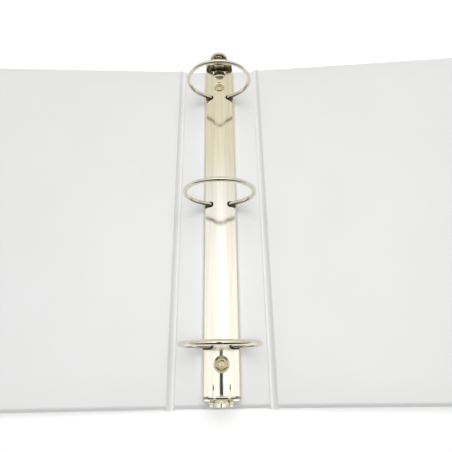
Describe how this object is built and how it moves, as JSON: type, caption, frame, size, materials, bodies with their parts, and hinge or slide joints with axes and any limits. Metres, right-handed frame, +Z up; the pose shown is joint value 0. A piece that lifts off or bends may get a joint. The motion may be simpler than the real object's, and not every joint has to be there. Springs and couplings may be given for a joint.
{
  "type": "ring binder",
  "caption": "Letter-size ring binder lying open: white vinyl covers hinged to a spine, a riveted ring metal with round split rings and an opening lever at each end.",
  "frame": {"origin": "centre of the spine's underside, on the surface the open binder lies on", "axes": "+X across the open case from the front cover to the back cover, +Y along the spine to the far lever, +Z up out of the open case"},
  "size_m": [0.6067, 0.2927, 0.0642],
  "materials": {
    "white_vinyl": "satin, fine leather grain",
    "chipboard": "matt",
    "nickel_steel": "bright nickel plate",
    "zinc_steel": "dull zinc plate"
  },
  "bodies": {
    "spine": {"spine_board": "chipboard", "spine_outer_skin": "white_vinyl", "spine_liner": "white_vinyl", "front_web_spine_half": "white_vinyl", "back_web_spine_half": "white_vinyl", "housing": "nickel_steel", "near_rivet": "nickel_steel", "near_washer": "zinc_steel", "near_lever_pin": "nickel_steel", "far_rivet": "nickel_steel", "far_washer": "zinc_steel", "far_lever_pin": "nickel_steel"},
    "front_cover": {"front_board": "chipboard", "front_outer_skin": "white_vinyl", "front_liner": "white_vinyl", "front_web_cover_half": "white_vinyl"},
    "back_cover": {"back_board": "chipboard", "back_outer_skin": "white_vinyl", "back_liner": "white_vinyl", "back_web_cover_half": "white_vinyl"},
    "left_leaf": {"left_leaf": "nickel_steel", "near_left_ring": "nickel_steel", "middle_left_ring": "nickel_steel", "far_left_ring": "nickel_steel"},
    "right_leaf": {"right_leaf": "nickel_steel", "near_right_ring": "nickel_steel", "middle_right_ring": "nickel_steel", "far_right_ring": "nickel_steel"},
    "near_lever": {"near_lever": "nickel_steel"},
    "far_lever": {"far_lever": "nickel_steel"}
  },
  "joints": [
    {"name": "front_hinge", "type": "hinge", "parent": "spine", "child": "front_cover", "pos_m": [-0.0374, 0, 0.00219], "axis": [0, 1, 0], "range_deg": [-3.8, 86.6]},
    {"name": "back_hinge", "type": "hinge", "parent": "spine", "child": "back_cover", "pos_m": [0.0374, 0, 0.00219], "axis": [0, -1, 0], "range_deg": [-4.9, 85.5]},
    {"name": "left_leaf_hinge", "type": "hinge", "parent": "spine", "child": "left_leaf", "pos_m": [-0.01265, 0.002, 0.0054], "axis": [0, -1, 0], "range_deg": [0, 9]},
    {"name": "right_leaf_hinge", "type": "hinge", "parent": "spine", "child": "right_leaf", "pos_m": [0.01265, 0.002, 0.0054], "axis": [0, 1, 0], "range_deg": [0, 9]},
    {"name": "near_lever_pivot", "type": "hinge", "parent": "spine", "child": "near_lever", "pos_m": [0, -0.1343, 0.005], "axis": [1, 0, 0], "range_deg": [0, 27]},
    {"name": "far_lever_pivot", "type": "hinge", "parent": "spine", "child": "far_lever", "pos_m": [0, 0.1383, 0.005], "axis": [-1, 0, 0], "range_deg": [0, 27]}
  ],
  "couplings": [
    {"joint": "right_leaf_hinge", "follows": "left_leaf_hinge", "ratio": 1},
    {"joint": "near_lever_pivot", "follows": "left_leaf_hinge", "ratio": 3},
    {"joint": "far_lever_pivot", "follows": "left_leaf_hinge", "ratio": 3}
  ]
}
